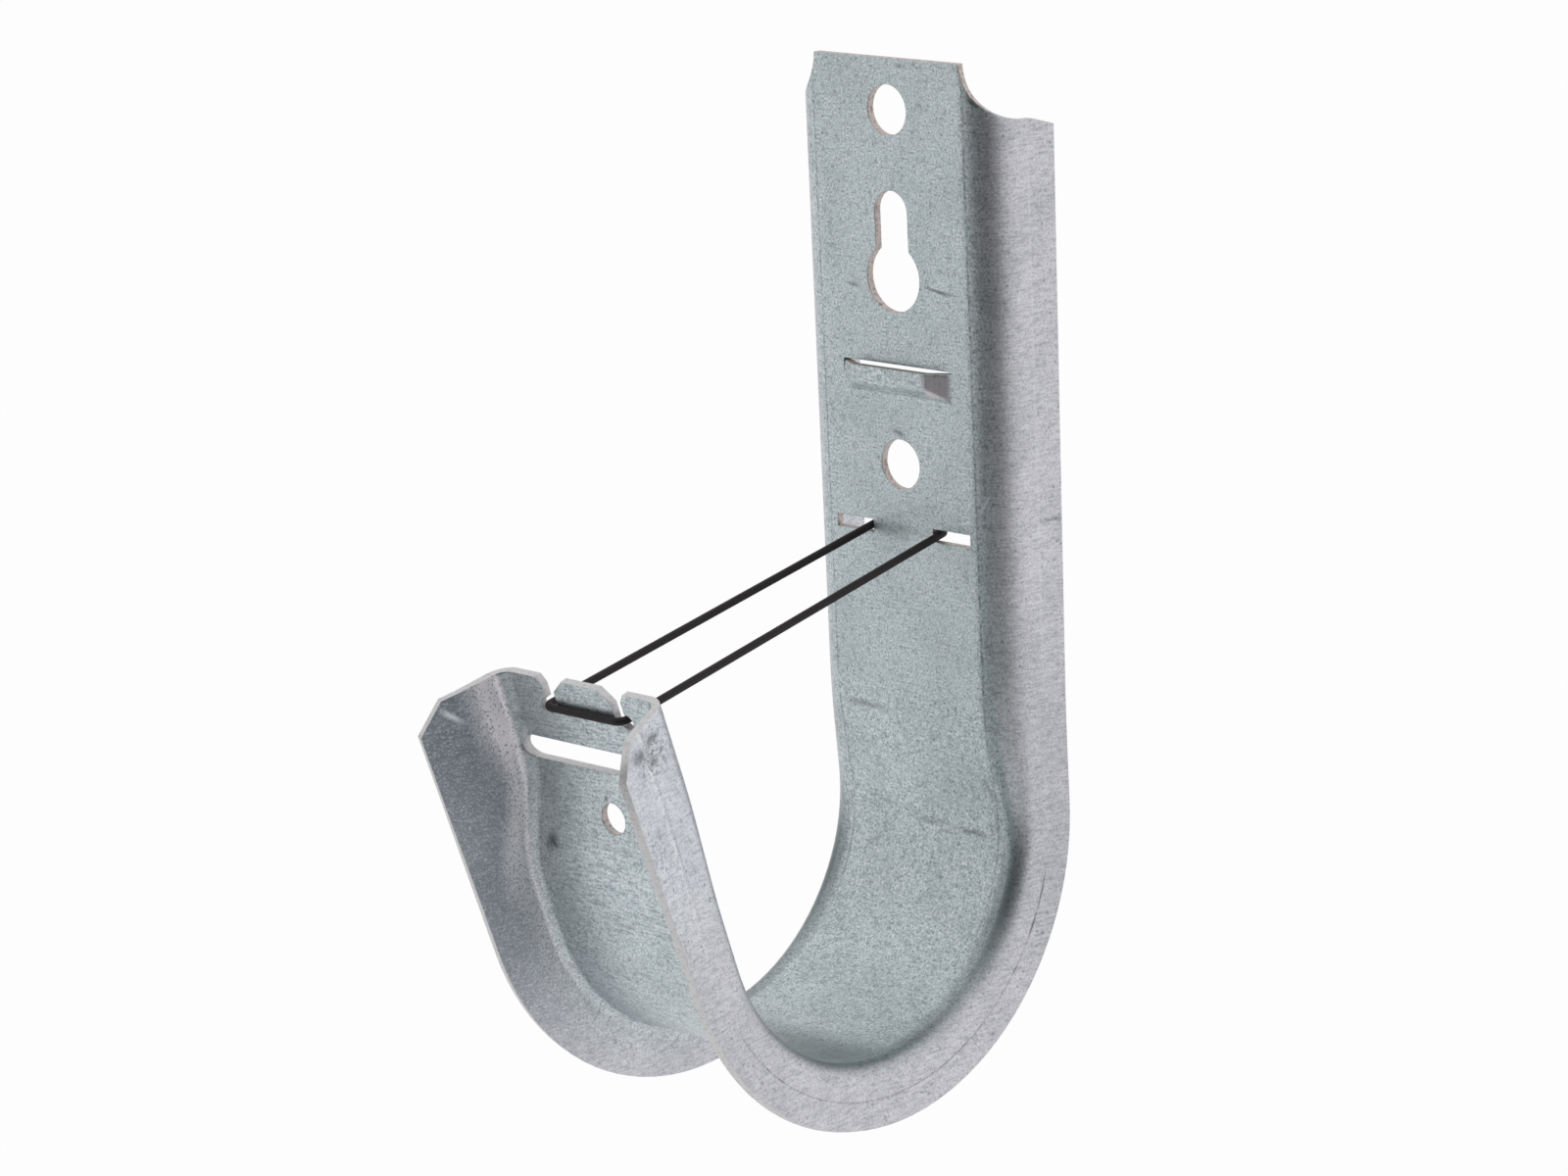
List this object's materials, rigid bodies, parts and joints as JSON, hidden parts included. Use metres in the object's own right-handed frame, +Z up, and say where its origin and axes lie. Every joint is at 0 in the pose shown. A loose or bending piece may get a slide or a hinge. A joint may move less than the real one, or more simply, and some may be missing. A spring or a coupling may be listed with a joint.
{
  "type": "j hook cable support",
  "caption": "Galvanised sheet J hook with a flared channel section, screw and keyhole fixing, notched tip and an elastic retainer loop across the mouth.",
  "frame": {"origin": "centre of the upper screw hole, on the face of the back plate that the screw head bears on", "axes": "+Z up along the back plate, -Y out of the wall towards the cable side and the open arm, +X to the side"},
  "size_m": [0.0396, 0.0864, 0.1401],
  "materials": {
    "galvanised_steel": "pre-galvanised sheet steel, dull satin, fine speckle, rubbed at the bends",
    "black_rubber": "matt black elastic cord"
  },
  "bodies": {
    "root": {"hook_body": "galvanised_steel", "retainer_band": "black_rubber"}
  },
  "joints": []
}
